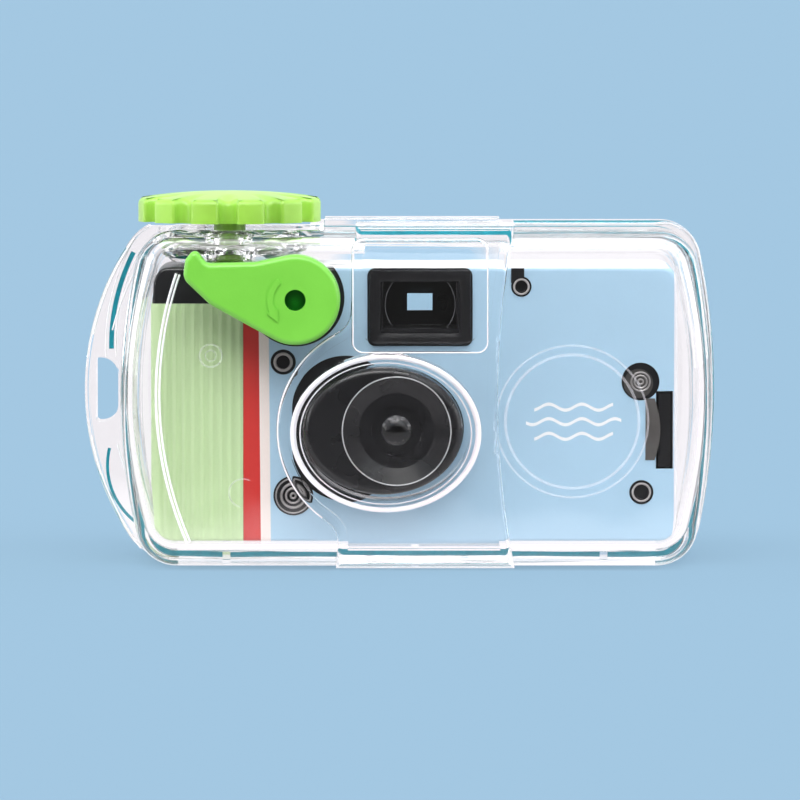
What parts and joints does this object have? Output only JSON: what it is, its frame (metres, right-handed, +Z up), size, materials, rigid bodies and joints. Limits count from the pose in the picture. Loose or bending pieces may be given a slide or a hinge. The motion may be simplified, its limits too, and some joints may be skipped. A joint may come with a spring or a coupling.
{
  "type": "disposable film camera",
  "caption": "Single-use 35 mm film camera wrapped in a printed label and sealed in a clear waterproof housing with a lobed winding knob and a front shutter lever.",
  "frame": {"origin": "on the surface that the housing stands on, midway along its width, below the winding axis", "axes": "+X to the right seen from the front, +Y to the back, +Z up; the lens looks along -Y"},
  "size_m": [0.131, 0.0516, 0.0767],
  "materials": {
    "clear_plastic": "clear injection-moulded plastic, polished",
    "gasket_rubber": "teal silicone rubber",
    "green_plastic": "bright green moulded plastic, satin",
    "seal_rubber": "black rubber",
    "spring_steel": "bare spring wire and strip",
    "black_plastic": "black moulded plastic, fine texture",
    "panel_plastic": "black moulded plastic, polished",
    "label_card": "coated card printed light blue, cream and red",
    "grip_card": "pale green card with fine upright ribs",
    "lens_plastic": "clear optical plastic",
    "dark_metal": "thin blackened sheet metal",
    "white_plastic": "natural white moulded plastic",
    "can_metal": "lacquered sheet metal",
    "cap_metal": "black lacquered sheet metal",
    "film_base": "dark brown film base"
  },
  "bodies": {
    "housing": {"front_shell": "clear_plastic", "rear_shell": "clear_plastic", "rim_gasket": "gasket_rubber", "lever_spring": "spring_steel", "front_cover": "black_plastic", "rear_cover": "black_plastic", "side_latch": "black_plastic", "label_wrap": "label_card", "grip_label": "grip_card", "lens_surround": "panel_plastic", "lens_ring": "panel_plastic", "front_lens": "lens_plastic", "rear_lens": "lens_plastic", "finder_frame": "panel_plastic", "finder_lens": "lens_plastic", "finder_mask": "black_plastic", "eyepiece_lens": "lens_plastic", "main_frame": "black_plastic", "shutter_plate": "dark_metal", "shutter_spring": "spring_steel", "release_leaf": "spring_steel", "cartridge_can": "can_metal", "cartridge_caps": "cap_metal", "film_strip": "film_base"},
    "knob": {"winding_knob": "green_plastic", "winding_shaft": "green_plastic", "winding_seal": "seal_rubber", "winding_clip": "spring_steel"},
    "lever": {"shutter_lever": "green_plastic", "lever_shaft": "green_plastic", "lever_seal": "seal_rubber", "release_arm": "black_plastic"},
    "release": {"release_slide": "white_plastic"},
    "blade": {"shutter_blade": "dark_metal"},
    "wheel": {"thumbwheel": "black_plastic"},
    "pawl": {"click_pawl": "white_plastic"},
    "take_up": {"cartridge_spool": "black_plastic"},
    "supply": {"supply_spool": "black_plastic", "film_roll": "film_base"},
    "sprocket": {"film_sprocket": "white_plastic"},
    "counter": {"counter_disc": "white_plastic"}
  },
  "joints": [
    {"name": "knob_turn", "type": "hinge", "parent": "housing", "child": "knob", "pos_m": [-0.0352, 0, 0.07], "axis": [0, 0, 1], "continuous": true},
    {"name": "wheel_turn", "type": "hinge", "parent": "housing", "child": "wheel", "pos_m": [-0.0352, 0, 0.0544], "axis": [0, 0, 1], "continuous": true},
    {"name": "take_up_turn", "type": "hinge", "parent": "housing", "child": "take_up", "pos_m": [-0.0352, 0, 0.0283], "axis": [0, 0, 1], "continuous": true},
    {"name": "supply_turn", "type": "hinge", "parent": "housing", "child": "supply", "pos_m": [0.035, -0.00085, 0.0283], "axis": [0, 0, 1], "continuous": true},
    {"name": "sprocket_turn", "type": "hinge", "parent": "housing", "child": "sprocket", "pos_m": [-0.016, 0.00335, 0.0438], "axis": [0, 0, 1], "continuous": true},
    {"name": "counter_turn", "type": "hinge", "parent": "housing", "child": "counter", "pos_m": [-0.0124, -0.0034, 0.0586], "axis": [0, 0, 1], "continuous": true},
    {"name": "pawl_click", "type": "hinge", "parent": "housing", "child": "pawl", "pos_m": [-0.0208, 0.0083, 0.0544], "axis": [0, 0, 1], "range_deg": [-6, 0], "stiffness_Nm_per_rad": 0.01, "springref_deg": 2.86},
    {"name": "lever_press", "type": "hinge", "parent": "housing", "child": "lever", "pos_m": [-0.0213, 0, 0.0552], "axis": [0, -1, 0], "range_deg": [0, 12], "stiffness_Nm_per_rad": 0.08, "springref_deg": -11.46},
    {"name": "release_slide_down", "type": "slide", "parent": "housing", "child": "release", "axis": [0, 0, -1], "range_m": [0, 0.0019]},
    {"name": "blade_swing", "type": "hinge", "parent": "housing", "child": "blade", "pos_m": [0.0074, 0, 0.0353], "axis": [0, -1, 0], "range_deg": [0, 28], "stiffness_Nm_per_rad": 0.0005, "springref_deg": -28.65}
  ],
  "couplings": [
    {"joint": "wheel_turn", "follows": "knob_turn", "ratio": 1},
    {"joint": "take_up_turn", "follows": "knob_turn", "ratio": 1},
    {"joint": "supply_turn", "follows": "knob_turn", "ratio": 0.85},
    {"joint": "sprocket_turn", "follows": "knob_turn", "ratio": 1.5},
    {"joint": "counter_turn", "follows": "knob_turn", "ratio": -0.05},
    {"joint": "release_slide_down", "follows": "lever_press", "m_per_rad": 0.009}
  ]
}
